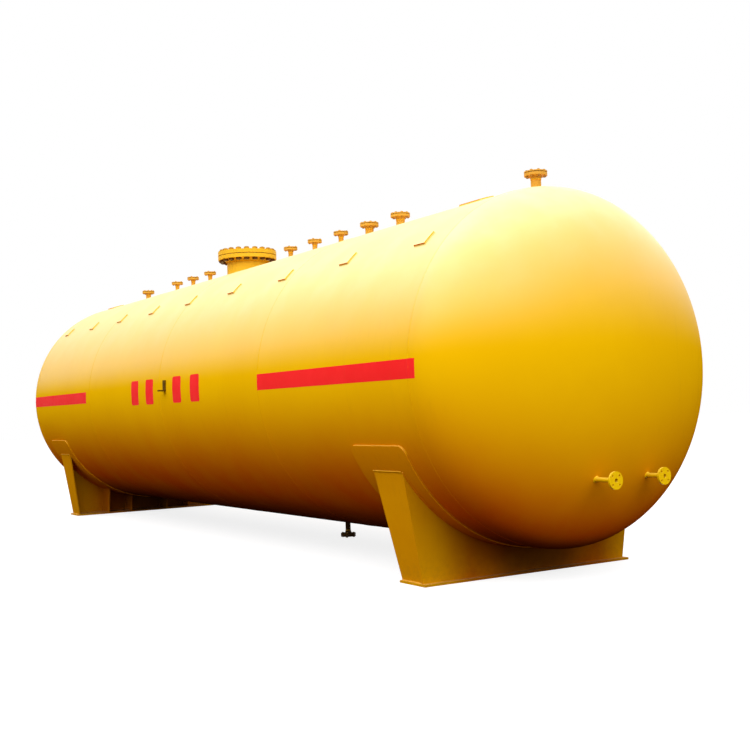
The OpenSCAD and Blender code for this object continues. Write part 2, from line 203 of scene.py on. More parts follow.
def make_rain_streaks():
    """Faint streaks that run down the sides."""
    tree, given, result = effect_group("rain_streaks", {"Amount": 0.2, "Spacing": 0.05}, ("Mask",))
    place = place_on(tree)
    stretched = put(tree, "ShaderNodeMapping", None, {"Vector": place, "Scale": (1.0, 1.0, 0.05)}).outputs[0]
    fine = noise(tree, stretched, math_node(tree, "DIVIDE", 1.0, given["Spacing"]), 3.0)
    groups = noise(tree, place, 0.9, 2.0)
    steep = ramp(tree, math_node(tree, "ABSOLUTE", facing_up(tree)), 0.95, 0.5)
    mask = math_node(tree, "MULTIPLY", ramp(tree, fine, 0.52, 0.75), ramp(tree, groups, 0.42, 0.65))
    mask = math_node(tree, "MULTIPLY", mask, steep)
    tree.links.new(math_node(tree, "MULTIPLY", mask, given["Amount"]), result.inputs["Mask"])
    return tree


def make_underside_painted_shade():
    """Painted shade: a brown tone on faces that look down and a darker one at the very bottom, in patches;
    also the coat's weight, full on faces that look up.
    """
    tree, given, result = effect_group("underside_painted_shade", {"Amount": 0.5}, ("Mask", "Bottom Shade", "Gloss"))
    facing = facing_up(tree)
    patches = ramp(tree, noise(tree, place_on(tree), 1.8, 5.0), 0.3, 0.7, 0.88, 1.0)
    for label, start, end in (("Mask", 0.04, -0.80), ("Bottom Shade", -0.72, -1.0)):
        mask = math_node(tree, "MULTIPLY", ramp(tree, facing, start, end), patches)
        tree.links.new(math_node(tree, "MULTIPLY", mask, given["Amount"]), result.inputs[label])
    tree.links.new(ramp(tree, facing, 0.03, 0.28), result.inputs["Gloss"])
    return tree


def make_sheltered_painted_shade():
    """Painted shade on what stands near the middle plane, stronger nearer to it, in patches."""
    tree, given, result = effect_group("sheltered_painted_shade",
                                       {"Middle": 0.1, "Outer": 1.1, "Inner": 0.6, "Amount": 0.5}, ("Mask",))
    place = place_on(tree)
    across = along_axis(tree, place, "Y")
    off = math_node(tree, "ABSOLUTE", math_node(tree, "SUBTRACT", across, given["Middle"]))
    patches = ramp(tree, noise(tree, place, 3.0, 5.0), 0.3, 0.7, 0.8, 1.0)
    mask = math_node(tree, "MULTIPLY", ramp(tree, off, given["Outer"], given["Inner"]), patches)
    tree.links.new(math_node(tree, "MULTIPLY", mask, given["Amount"]), result.inputs["Mask"])
    return tree


def make_edge_wear():
    """Rubbed paint along outer edges, broken up by noise."""
    tree, given, result = effect_group("edge_wear", {"Radius": 0.004, "Amount": 0.5}, ("Mask",))
    plain = tree.nodes.new("ShaderNodeNewGeometry").outputs["Normal"]
    rounded = put(tree, "ShaderNodeBevel", {"samples": 4}, {"Radius": given["Radius"]}).outputs[0]
    agree = put(tree, "ShaderNodeVectorMath", {"operation": "DOT_PRODUCT"},
                {0: plain, 1: rounded}).outputs["Value"]
    broken = ramp(tree, noise(tree, place_on(tree), 55.0, 4.0), 0.5, 0.72)
    mask = math_node(tree, "MULTIPLY", ramp(tree, agree, 0.995, 0.86), broken)
    tree.links.new(math_node(tree, "MULTIPLY", mask, given["Amount"]), result.inputs["Mask"])
    return tree


def make_ground_splash():
    """Dirt thrown up on what stands near the ground."""
    tree, given, result = effect_group("ground_splash", {"Height": 0.3, "Amount": 0.4}, ("Mask",))
    place = place_on(tree)
    height = along_axis(tree, place, "Z")
    near = math_node(tree, "SUBTRACT", 1.0, math_node(tree, "DIVIDE", height, given["Height"]), clamp=True)
    specks = ramp(tree, noise(tree, place, 24.0, 7.0, 0.7), 0.38, 0.66)
    mask = math_node(tree, "MULTIPLY", math_node(tree, "MULTIPLY", near, specks), given["Amount"])
    tree.links.new(mask, result.inputs["Mask"])
    return tree


EFFECTS = {
    "unevenness": make_paint_unevenness(),
    "dust_and_highlight": make_dust_and_painted_highlight(),
    "streaks": make_rain_streaks(),
    "underside_shade": make_underside_painted_shade(),
    "sheltered_shade": make_sheltered_painted_shade(),
    "wear": make_edge_wear(),
    "splash": make_ground_splash(),
}


def effect(tree, name, **values):
    """Places one of the shared effects in a material, with its own values."""
    node = tree.nodes.new("ShaderNodeGroup")
    node.node_tree = EFFECTS[name]
    for label, value in values.items():
        node.inputs[label.replace("_", " ").title()].default_value = value
    return node.outputs


# Finishes

BARE_STEEL = (0.16, 0.13, 0.10, 1.0)
# Dust tone, pale: it also paints the highlight on faces that look up
DUST_AND_HIGHLIGHT_TONE = (0.86, 0.76, 0.49, 1.0)
STREAK_TONE = (0.36, 0.17, 0.02, 1.0)
MUD_TONE = (0.15, 0.07, 0.02, 1.0)
# Painted shade: a darker, redder tone on faces that look down
UNDERSIDE_SHADE_TONE = (0.72, 0.075, 0.001, 1.0)
# Painted shade near the middle plane, and the deepest painted shade, there and at the very bottom
SHELTERED_SHADE_TONE = (0.38, 0.09, 0.001, 1.0)
DEEP_SHADE_TONE = (0.09, 0.04, 0.008, 1.0)

# Reach of the painted shade and of the deeper painted shade from the middle plane
SHELTERED_SHADE_REACH = {"outer": 1.15, "inner": 0.65}
DEEP_SHADE_REACH = {"outer": 0.60, "inner": 0.20}
DEEP_SHADE_SHARE = 0.5

# What blotches, wear, mud and dust do to the paint, and the strength of its bumps
BLOTCH_SHARE = 0.35
BLOTCH_SMOOTHER = 0.03
BLOTCH_ROUGHER = 0.05
WORN_ROUGHER = 0.2
MUD_ROUGHER = 0.4
DUST_ROUGHER = 0.5
PAINT_BUMP = 0.5
PLATE_WAVE_H = 0.004


def new_material(name):
    """Empty finish. Returns it with its tree and its shader."""
    material = bpy.data.materials.new(name)
    material.use_nodes = True
    return material, material.node_tree, material.node_tree.nodes["Principled BSDF"]


def paint(name, colour, shade, roughness=0.40, specular=0.03, coat=0.0, peel=0.0003, dust_and_highlight=0.10,
          streaks=0.10, underside_shade=0.0, sheltered_shade=0.0, wear=0.0, splash=0.0, patch_size=1.2):
    """Sprayed paint on steel: two close tones in patches, with streaks, worn edges, splashes and painted
    shade below and near the middle plane. Dust on faces that look up also paints their highlight.

    A coat comes only with the painted underside shade, whose effect sets the coat's weight: full on faces
    that look up, none on faces that look sideways or down.
    """
    material, tree, shader = new_material(name)
    shader.inputs["Specular IOR Level"].default_value = specular
    shader.inputs["Coat Roughness"].default_value = roughness
    uneven = effect(tree, "unevenness", patch_size=patch_size)
    tone = mix_colour(tree, uneven["Patches"], (*colour, 1.0), (*shade, 1.0))
    blotches = math_node(tree, "MULTIPLY", uneven["Blotches"], BLOTCH_SHARE)
    tone = mix_colour(tree, blotches, tone, (*shade, 1.0))
    if streaks:
        tone = mix_colour(tree, effect(tree, "streaks", amount=streaks)["Mask"], tone, STREAK_TONE)
    # Painted shade on faces that look down, deeper at the very bottom; the coat is kept on faces that look
    # up
    if underside_shade:
        underside_shade_masks = effect(tree, "underside_shade", amount=underside_shade)
        tone = mix_colour(tree, underside_shade_masks["Mask"], tone, UNDERSIDE_SHADE_TONE)
        tone = mix_colour(tree, underside_shade_masks["Bottom Shade"], tone, DEEP_SHADE_TONE)
        tree.links.new(math_node(tree, "MULTIPLY", underside_shade_masks["Gloss"], coat), shader.inputs["Coat Weight"])
    # Painted shade near the middle plane, with a deeper shade nearer to it
    if sheltered_shade:
        sheltered_shade_mask = effect(tree, "sheltered_shade", amount=sheltered_shade, **SHELTERED_SHADE_REACH)["Mask"]
        tone = mix_colour(tree, sheltered_shade_mask, tone, SHELTERED_SHADE_TONE)
        deep_shade_mask = effect(tree, "sheltered_shade", amount=sheltered_shade * DEEP_SHADE_SHARE, **DEEP_SHADE_REACH)["Mask"]
        tone = mix_colour(tree, deep_shade_mask, tone, DEEP_SHADE_TONE)
    rough = ramp(tree, uneven["Blotches"], 0.0, 1.0, roughness - BLOTCH_SMOOTHER, roughness + BLOTCH_ROUGHER)
    if wear:
        worn = effect(tree, "wear", amount=wear)["Mask"]
        tone = mix_colour(tree, worn, tone, BARE_STEEL)
        rough = math_node(tree, "ADD", rough, math_node(tree, "MULTIPLY", worn, WORN_ROUGHER))
    if splash:
        mud = effect(tree, "splash", amount=splash)["Mask"]
        tone = mix_colour(tree, mud, tone, MUD_TONE)
        rough = math_node(tree, "ADD", rough, math_node(tree, "MULTIPLY", mud, MUD_ROUGHER))
    # Dust, which also paints a pale highlight, on faces that look up
    if dust_and_highlight:
        dust_and_highlight_mask = effect(tree, "dust_and_highlight", amount=dust_and_highlight)["Mask"]
        tone = mix_colour(tree, dust_and_highlight_mask, tone, DUST_AND_HIGHLIGHT_TONE)
        rough = math_node(tree, "ADD", rough, math_node(tree, "MULTIPLY", dust_and_highlight_mask, DUST_ROUGHER))
    skin = put(tree, "ShaderNodeBump", None,
               {"Strength": PAINT_BUMP, "Distance": peel, "Height": uneven["Peel"]}).outputs[0]
    plate = put(tree, "ShaderNodeBump", None,
                {"Strength": PAINT_BUMP, "Distance": PLATE_WAVE_H, "Height": uneven["Waves"],
                 "Normal": skin}).outputs[0]
    tree.links.new(tone, shader.inputs["Base Color"])
    tree.links.new(rough, shader.inputs["Roughness"])
    tree.links.new(plate, shader.inputs["Normal"])
    return material


def gasket_sheet():
    """Pressed grey-black jointing with a fibrous edge."""
    material, tree, shader = new_material("gasket_sheet")
    shader.inputs["Specular IOR Level"].default_value = 0.3
    uneven = effect(tree, "unevenness", patch_size=0.05, peel_size=0.0015)
    tone = mix_colour(tree, uneven["Blotches"], (0.030, 0.028, 0.026, 1.0), (0.060, 0.055, 0.048, 1.0))
    rough = ramp(tree, uneven["Patches"], 0.0, 1.0, 0.65, 0.85)
    bump = put(tree, "ShaderNodeBump", None,
               {"Strength": 0.6, "Distance": 0.0004, "Height": uneven["Peel"]}).outputs[0]
    tree.links.new(tone, shader.inputs["Base Color"])
    tree.links.new(rough, shader.inputs["Roughness"])
    tree.links.new(bump, shader.inputs["Normal"])
    return material


def stud_steel():
    """Rolled stud thread, grey with brown staining."""
    material, tree, shader = new_material("stud_steel")
    uneven = effect(tree, "unevenness", patch_size=0.06, peel_size=0.002)
    tone = mix_colour(tree, uneven["Blotches"], (0.34, 0.31, 0.27, 1.0), (0.16, 0.085, 0.04, 1.0))
    metal = ramp(tree, uneven["Blotches"], 0.0, 1.0, 0.9, 0.25)
    rough = ramp(tree, uneven["Patches"], 0.0, 1.0, 0.38, 0.6)
    bump = put(tree, "ShaderNodeBump", None,
               {"Strength": 0.4, "Distance": 0.0002, "Height": uneven["Peel"]}).outputs[0]
    for value, socket in ((tone, "Base Color"), (metal, "Metallic"), (rough, "Roughness"), (bump, "Normal")):
        tree.links.new(value, shader.inputs[socket])
    return material


YELLOW = (0.86, 0.490, 0.001)
YELLOW_SHADE = (0.83, 0.460, 0.001)
# Dust on the vessel and its heads also paints their highlight, more of it on the heads
vessel_paint = paint("vessel_paint", YELLOW, YELLOW_SHADE, specular=0.0, coat=0.90, dust_and_highlight=0.56,
                     streaks=0.06, underside_shade=0.9)
head_paint = paint("head_paint", YELLOW, YELLOW_SHADE, specular=0.0, coat=0.75, dust_and_highlight=0.65,
                   streaks=0.06, underside_shade=0.9)
weld_paint = paint("weld_paint", YELLOW, (0.81, 0.44, 0.001), specular=0.0, coat=0.60, peel=0.0008,
                   dust_and_highlight=0.56, streaks=0.0, underside_shade=0.9, patch_size=0.12)
# Darker, browner copy of the weld paint for the shoulder pads: painted shade along their edges
shaded_weld_paint = paint("shaded_weld_paint", (0.64, 0.46, 0.08), (0.55, 0.38, 0.06), peel=0.0008,
                           dust_and_highlight=0.45, streaks=0.0, patch_size=0.12)
manhole_paint = paint("manhole_paint", (0.82, 0.47, 0.028), (0.76, 0.42, 0.022), streaks=0.12, wear=0.45,
                      patch_size=0.3)
# Darker than the vessel's yellow: painted shade on the small nozzles
nozzle_paint = paint("nozzle_paint", (0.68, 0.36, 0.050), (0.60, 0.30, 0.040), streaks=0.12, wear=0.30,
                     patch_size=0.3)
# Darker, browner copy of the yellow for the saddles: painted shade under the vessel
shaded_saddle_paint = paint("shaded_saddle_paint", (0.67, 0.32, 0.001), (0.63, 0.29, 0.001), specular=0.0, coat=0.15,
                     streaks=0.12, underside_shade=0.8, sheltered_shade=1.0, wear=0.25, splash=0.20, patch_size=0.6)
wear_paint = paint("wear_paint", (0.87, 0.41, 0.001), (0.83, 0.38, 0.001), specular=0.0, coat=0.15,
                   streaks=0.12, underside_shade=0.45, wear=0.25, patch_size=0.6)
pipe_paint = paint("pipe_paint", (0.88, 0.57, 0.002), (0.84, 0.52, 0.002), streaks=0.04, wear=0.15,
                   patch_size=0.2)
# Near black: painted shade on the drain under the vessel
shaded_drain_paint = paint("shaded_drain_paint", (0.11, 0.050, 0.010), (0.07, 0.030, 0.006), roughness=0.55, streaks=0.0,
                    wear=0.3, patch_size=0.1)
bracket_paint = paint("bracket_paint", (0.16, 0.085, 0.005), (0.10, 0.050, 0.004), roughness=0.5,
                      specular=0.01, dust_and_highlight=0.0, streaks=0.0, wear=0.3, patch_size=0.1)
marking_paint = paint("marking_paint", (0.97, 0.027, 0.026), (0.93, 0.021, 0.021), specular=0.01, dust_and_highlight=0.03,
                      streaks=0.04, patch_size=0.4)
nut_paint = paint("nut_paint", (0.60, 0.32, 0.030), (0.42, 0.20, 0.020), roughness=0.42, peel=0.0006,
                  streaks=0.0, wear=0.8, patch_size=0.05)
# The same darker tone for the nozzles' nuts: painted shade
nozzle_nut_paint = paint("nozzle_nut_paint", (0.64, 0.34, 0.045), (0.52, 0.26, 0.035), peel=0.0006,
                         streaks=0.0, wear=0.4, patch_size=0.05)
# Dark copy of the nut paint for the nuts under the manhole flange: painted shade
shaded_nut_paint = paint("shaded_nut_paint", (0.14, 0.055, 0.008), (0.08, 0.03, 0.006), roughness=0.55,
                          peel=0.0006, streaks=0.0, wear=0.4, patch_size=0.05)
stud_metal = stud_steel()
gasket_grey = gasket_sheet()

# Finish of each solid, by its name
SADDLE_PIECES = ("saddle_web", "saddle_ribs", "base_plate")
for name, node in nodes.items():
    finish = vessel_paint
    if name == "gaskets":
        finish = gasket_grey
    elif name == "side_brackets":
        finish = bracket_paint
    elif name.endswith("wear_plate"):
        finish = wear_paint
    elif name.endswith(SADDLE_PIECES):
        finish = shaded_saddle_paint
    elif name.startswith("manhole"):
        finish = manhole_paint
    elif name.startswith("drain"):
        finish = shaded_drain_paint
    elif name.endswith("head_nozzle"):
        finish = pipe_paint
    elif "nozzle" in name:
        finish = nozzle_paint
    node.data.materials.clear()
    node.data.materials.append(finish)


# Mesh helpers, with the angles in degrees past which an edge stays sharp

PLAIN_CREASE = 35.0
WELD_CREASE = 60
NUT_CREASE = 25
STUD_CREASE = 50


def new_piece(name, mesh, finish, crease=PLAIN_CREASE):
    """Turns a bmesh into a named piece that rides on the tank."""
    bmesh.ops.recalc_face_normals(mesh, faces=mesh.faces)
    data = bpy.data.meshes.new(name)
    mesh.to_mesh(data)
    mesh.free()
    data.shade_smooth()
    data.set_sharp_from_angle(angle=math.radians(crease))
    data.materials.append(finish)
    piece = bpy.data.objects.new(name, data)
    bpy.context.scene.collection.objects.link(piece)
    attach(piece, "root")
    return piece


def lathe(mesh, profile, steps, turn):
    """Revolves points of (height, radius) about Z, closed on the axis, and places them by a matrix."""
    rings = []
    for height, radius in profile:
        if radius == 0:
            rings.append([mesh.verts.new(turn @ Vector((0, 0, height)))])
            continue
        angles = [2 * math.pi * step / steps for step in range(steps)]
        rings.append([mesh.verts.new(turn @ Vector((radius * math.cos(a), radius * math.sin(a), height)))
                      for a in angles])
    for first, second in zip(rings, rings[1:]):
        for step in range(steps):
            after = (step + 1) % steps
            corners = [first[step % len(first)], first[after % len(first)],
                       second[after % len(second)], second[step % len(second)]]
            mesh.faces.new(list(dict.fromkeys(corners)))


def seam_section(half_width, height, arcs=6):
    """Low crowned bead, sunk a little into the plate."""
    crown = [(half_width * math.cos(math.pi * i / arcs), height * math.sin(math.pi * i / arcs))
             for i in range(arcs + 1)]
    return crown + [(-half_width, -height), (half_width, -height)]


def fillet_section(leg, arcs=4):
    """Slightly crowned fillet, drawn with the corner at zero and the bisector up."""
    flat = leg / math.sqrt(2)
    crown = [(flat * math.cos(math.pi * i / arcs), flat + FILLET_CROWN * leg * math.sin(math.pi * i / arcs))
             for i in range(arcs + 1)]
    return crown + [(0.0, -FILLET_SINK * leg)]


def weld(mesh, path, normals, section, closed=False, wall=None):
    """Runs a bead along a path. A wall's normal, or True outside a loop, leans it into the corner."""
    count = len(path)
    rings = []
    for i, (point, normal) in enumerate(zip(path, normals)):
        before = path[i - 1] if closed or i else point
        after = path[(i + 1) % count] if closed or i < count - 1 else point
        along = (after - before).normalized()
        side = along.cross(normal).normalized()
        lean = 0 if wall is None else 1 if wall is True or side.dot(wall) > 0 else -1
        upward = (normal + lean * side).normalized()
        across = along.cross(upward).normalized()
        swell = 1 + BEAD_RIPPLE * rng.uniform(-1, 1)
        rings.append([mesh.verts.new(point + across * a * swell + upward * b * swell) for a, b in section])
    for i in range(count if closed else count - 1):
        first, second = rings[i], rings[(i + 1) % count]
        for j in range(len(section)):
            k = (j + 1) % len(section)
            mesh.faces.new((first[j], first[k], second[k], second[j]))
    if not closed:
        mesh.faces.new(rings[0])
        mesh.faces.new(rings[-1])


def line(start, end, step=BEAD_STEP):
    """Points of a straight path, both ends among them."""
    count = max(2, round((end - start).length / step))
    return [start.lerp(end, i / count) for i in range(count + 1)]


def weld_line(mesh, start, end, normal, wall):
    """Straight fillet of a saddle."""
    path = line(start, end)
    weld(mesh, path, [normal] * len(path), fillet_section(SADDLE_LEG), wall=wall)


# Places on the vessel, with angles in radians from the back over the top to the front

def outward(angle):
    return Vector((0, math.cos(angle), math.sin(angle)))


def on_shell(x, angle, radius=SHELL_R):
    return Vector((x, 0, AXIS_Z)) + radius * outward(angle)


def outer_radius(x):
    """Radius of the vessel's outside at a place along it."""
    past = (abs(x) - TANGENT_X) / HEAD_DEPTH
    return SHELL_R * math.sqrt(1 - past ** 2) if past > 0 else SHELL_R


def arc_angles(start, end, radius, step=BEAD_STEP):
    """Angles of an arc, both ends among them, about a step apart along it."""
    count = max(2, round(abs(end - start) * radius / step))
    return [start + (end - start) * i / count for i in range(count + 1)]


# Heads, with the true curve of the dish and the bores of the two thin pipes

HEAD_ROWS = 56
HEAD_STEPS = 176
BORE_STEPS = 24
HEAD_PIPE_R = 0.019
RING_FLANGE_T = 0.018
HEAD_PIPE_NODES = ("front_head_nozzle", "back_head_nozzle")


def head_dish(name, node, direction):
    """Half an ellipsoid with a short skirt, at the wall's thickness, in the place of a head."""
    mesh = bmesh.new()
    turn = Matrix.Translation((0, 0, AXIS_Z)) @ Matrix.Rotation(direction * math.pi / 2, 4, "Y")
    leans = [math.pi / 2 * row / HEAD_ROWS for row in range(HEAD_ROWS + 1)]
    outside = [(TANGENT_X + HEAD_DEPTH * math.cos(a), SHELL_R * math.sin(a)) for a in leans]
    inside = [(TANGENT_X + (HEAD_DEPTH - WALL) * math.cos(a), (SHELL_R - WALL) * math.sin(a))
              for a in leans]
    rims = [(SEAMS[-1], SHELL_R), (SEAMS[-1], SHELL_R - WALL)]
    profile = [(x, radius if i else 0) for i, (x, radius) in enumerate(outside)] + rims
    profile += [(x, radius if i < HEAD_ROWS else 0) for i, (x, radius) in enumerate(reversed(inside))]
    lathe(mesh, profile, HEAD_STEPS, turn)
    piece = new_piece(name, mesh, head_paint)
    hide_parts(node)
    return piece


def bore_head(piece):
    """Cuts the bores of the head's pipes through the dish."""
    cutters = bmesh.new()
    for node in HEAD_PIPE_NODES:
        low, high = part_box(node)
        place = Vector((TANGENT_X, (low.y + high.y) / 2, (low.z + high.z) / 2))
        turn = Matrix.Translation(place) @ Matrix.Rotation(math.pi / 2, 4, "Y")
        bore = [(0, 0), (0, HEAD_PIPE_R), (HEAD_DEPTH, HEAD_PIPE_R), (HEAD_DEPTH, 0)]
        lathe(cutters, bore, BORE_STEPS, turn)
    data = bpy.data.meshes.new("head_bores")
    bmesh.ops.recalc_face_normals(cutters, faces=cutters.faces)
    cutters.to_mesh(data)
    cutters.free()
    cutter = bpy.data.objects.new("head_bores", data)
    bpy.context.scene.collection.objects.link(cutter)
    cut = piece.modifiers.new("bores", "BOOLEAN")
    cut.object = cutter
    cut.solver = "EXACT"
    depsgraph = bpy.context.evaluated_depsgraph_get()
    bored = bpy.data.meshes.new_from_object(piece.evaluated_get(depsgraph), depsgraph=depsgraph)
    piece.modifiers.remove(cut)
    piece.data = bored
    bpy.data.objects.remove(cutter)


near_dish = head_dish("near_head_dish", "near_head", 1)
head_dish("far_head_dish", "far_head", -1)
bore_head(near_dish)


# Seams of the shell

LONG_SEAM_ANGLES = (62, 38, 66, 34)


def shell_seams():
    """Seams round the vessel, and one along each course at its own angle in degrees."""
    mesh = bmesh.new()
    angles = arc_angles(0, 2 * math.pi, SHELL_R)[:-1]
    normals = [outward(a) for a in angles]
    for x in SEAMS:
        path = [on_shell(x, a) for a in angles]
        weld(mesh, path, normals, seam_section(SEAM_HALF_W, SEAM_H), closed=True)
    new_piece("girth_seams", mesh, weld_paint, crease=WELD_CREASE)
    mesh = bmesh.new()
    for course, degrees in zip(COURSES, LONG_SEAM_ANGLES):
        low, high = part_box(course)
        angle = math.radians(degrees)
        path = line(on_shell(low.x, angle), on_shell(high.x, angle))
        weld(mesh, path, [outward(angle)] * len(path), seam_section(SEAM_HALF_W, SEAM_H))
    new_piece("long_seams", mesh, weld_paint, crease=WELD_CREASE)


shell_seams()


# Roots of the necks, with the pipes' radii, bolts and flange thicknesses by flange diameter

TOP_NOZZLES = ["nozzle_%d" % number for number in range(1, 11)]
PIPE_R = {0.200: 0.0445, 0.185: 0.038, 0.165: 0.0285}
BOLTS_OF = {0.200: (8, 0.080), 0.185: (8, 0.0725), 0.165: (4, 0.0625)}
MANHOLE_NECK_R = 0.265
MANHOLE_BOLTS = (20, 0.335)
FLANGE_T = {0.200: 0.024, 0.185: 0.022, 0.165: 0.020, 0.755: 0.048}
RAISED_H = 0.003
GASKET_T = 0.003
BLANK_T = 0.010
HUB_L = 0.032


def flange_size(node):
    """Middle of a neck along the vessel and its flange's diameter to the nearest listed size."""
    low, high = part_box(node)
    width = high.x - low.x
    return (low.x + high.x) / 2, min(FLANGE_T, key=lambda size: abs(size - width))


def neck_root(mesh, x, radius, below=False):
    """Fillet where a round neck stands on the shell."""
    path = []
    normals = []
    for angle in arc_angles(0, 2 * math.pi, radius, NECK_STEP)[:-1]:
        y = radius * math.sin(angle)
        height = math.sqrt(SHELL_R ** 2 - y ** 2) * (-1 if below else 1)
        path.append(Vector((x + radius * math.cos(angle), y, AXIS_Z + height)))
        normals.append(Vector((0, y, height)).normalized())
    if below:
        path.reverse()
        normals.reverse()
    weld(mesh, path, normals, fillet_section(NECK_LEG), closed=True, wall=True)


def pipe_bead(mesh, x, z, radius, half_width):
    """Butt weld round an upright pipe."""
    angles = arc_angles(0, 2 * math.pi, radius, NECK_STEP)[:-1]
    rays = [Vector((math.cos(a), math.sin(a), 0)) for a in angles]
    weld(mesh, [Vector((x, 0, z)) + radius * ray for ray in rays], rays,
         seam_section(half_width, half_width / PIPE_SEAM_FLATNESS), closed=True)


def neck_welds():
    """Root of each neck on the shell, and the seam at its flange's hub."""
    mesh = bmesh.new()
    for node in TOP_NOZZLES:
        x, size = flange_size(node)
        neck_root(mesh, x, PIPE_R[size])
        hub_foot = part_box(node)[1].z - RAISED_H - FLANGE_T[size] - HUB_L
        pipe_bead(mesh, x, hub_foot, PIPE_R[size], NOZZLE_SEAM_HALF_W)
    x, size = flange_size("drain_nozzle")
    neck_root(mesh, x, PIPE_R[size], below=True)
    hub_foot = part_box("drain_nozzle")[0].z + RAISED_H + FLANGE_T[size] + HUB_L
    pipe_bead(mesh, x, hub_foot, PIPE_R[size], NOZZLE_SEAM_HALF_W)
    x, size = flange_size("manhole_neck")
    neck_root(mesh, x, MANHOLE_NECK_R)
    hub_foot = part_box("manhole_neck")[1].z - RAISED_H - FLANGE_T[size] - HUB_L
    pipe_bead(mesh, x, hub_foot, MANHOLE_NECK_R, MANHOLE_SEAM_HALF_W)
    new_piece("neck_welds", mesh, weld_paint, crease=WELD_CREASE)


def head_pipe_welds():
    """Root of each thin pipe on the dish, and the fillet behind its ring flange."""
    mesh = bmesh.new()
    for node in HEAD_PIPE_NODES:
        low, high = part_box(node)
        middle = Vector((0, (low.y + high.y) / 2, (low.z + high.z) / 2))
        root, root_normals, ring, ring_normals = [], [], [], []
        flange_back = high.x - RING_FLANGE_T
        for angle in arc_angles(0, 2 * math.pi, HEAD_PIPE_R, HEAD_PIPE_STEP)[:-1]:
            ray = Vector((0, math.cos(angle), math.sin(angle)))
            y, z = (middle + HEAD_PIPE_R * ray).yz
            share = (y ** 2 + (z - AXIS_Z) ** 2) / SHELL_R ** 2
            x = TANGENT_X + HEAD_DEPTH * math.sqrt(1 - share)
            root.append(Vector((x, y, z)))
            root_normals.append(Vector(((x - TANGENT_X) / HEAD_DEPTH ** 2, y / SHELL_R ** 2,
                                        (z - AXIS_Z) / SHELL_R ** 2)).normalized())
            ring.append(Vector((flange_back, y, z)))
            ring_normals.append(Vector((-1, 0, 0)))
        weld(mesh, root, root_normals, fillet_section(HEAD_PIPE_LEG), closed=True, wall=True)
        ring.reverse()
        weld(mesh, ring, ring_normals, fillet_section(RING_FLANGE_LEG), closed=True, wall=True)
    new_piece("head_pipe_welds", mesh, pipe_paint, crease=WELD_CREASE)


neck_welds()
head_pipe_welds()


# Edges of the plates that lie on the shell, with each row of pads as (length, width, angle, count)

PAD_SIZES = {
    "shoulder_pads": (0.155, 0.140, math.radians(45), 9),
    "lifting_pads": (0.290, 0.160, math.radians(75.5), 2),
}


def loop_on_shell(corners, radius, step):
    """Closed path through corners of (x, angle), counter-clockwise seen from outside, with its normals."""
    path = []
    normals = []
    for (x0, a0), (x1, a1) in zip(corners, corners[1:] + corners[:1]):
        length = max(abs(x1 - x0), radius * abs(a1 - a0))
        count = max(1, round(length / step))
        for i in range(count):
            angle = a0 + (a1 - a0) * i / count
            path.append(on_shell(x0 + (x1 - x0) * i / count, angle, radius))
            normals.append(outward(angle))
    return path, normals


def pad_welds(name, node, finish):
    """Fillets round the pads of a row, on both sides of the vessel."""
    mesh = bmesh.new()
    low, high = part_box(node)
    length, width, angle, count = PAD_SIZES[node]
    spread = width / SHELL_R / 2
    for index in range(count):
        middle = low.x + length / 2 + index * (high.x - low.x - length) / (count - 1)
        for centre in (angle, math.pi - angle):
            corners = [(middle - length / 2, centre - spread), (middle + length / 2, centre - spread),
                       (middle + length / 2, centre + spread), (middle - length / 2, centre + spread)]
            path, normals = loop_on_shell(corners[::-1], SHELL_R, PAD_STEP)
            weld(mesh, path, normals, fillet_section(PAD_LEG), closed=True, wall=True)
    new_piece(name, mesh, finish, crease=WELD_CREASE)


# The shoulder pads' welds take the darker copy of the weld paint: painted shade
pad_welds("shoulder_pad_welds", "shoulder_pads", shaded_weld_paint)
pad_welds("lifting_pad_welds", "lifting_pads", weld_paint)


def wear_plate_edge(mesh, node):
    """Fillet all round a wear plate: up one side, over its round corners and down the other."""
    low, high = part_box(node)
    top = high.z - AXIS_Z
    corner = WEAR_CORNER_R
    half = []
    for angle in arc_angles(-math.pi / 2, math.asin((top - corner) / SHELL_R), SHELL_R):
        half.append((high.x, SHELL_R * math.sin(angle)))
    for i in range(1, WEAR_CORNER_ARCS + 1):
        turn = math.pi / 2 * i / WEAR_CORNER_ARCS
        half.append((high.x - corner + corner * math.cos(turn), top - corner + corner * math.sin(turn)))
    width = high.x - low.x - 2 * corner
    steps = round(width / BEAD_STEP)
    half += [(high.x - corner - width * i / steps, top) for i in range(1, steps)]
    mirrored = [(low.x + high.x - x, z) for x, z in reversed(half)]
    front = half + mirrored[:-1]
    loop = [(x, -1, z) for x, z in front] + [(x, 1, z) for x, z in reversed(front[1:-1])]
    path = [Vector((x, side * math.sqrt(max(SHELL_R ** 2 - z ** 2, 0)), AXIS_Z + z)) for x, side, z in loop]
    normals = [(point - Vector((point.x, 0, AXIS_Z))).normalized() for point in path]
    weld(mesh, path, normals, fillet_section(PLATE_LEG), closed=True, wall=True)


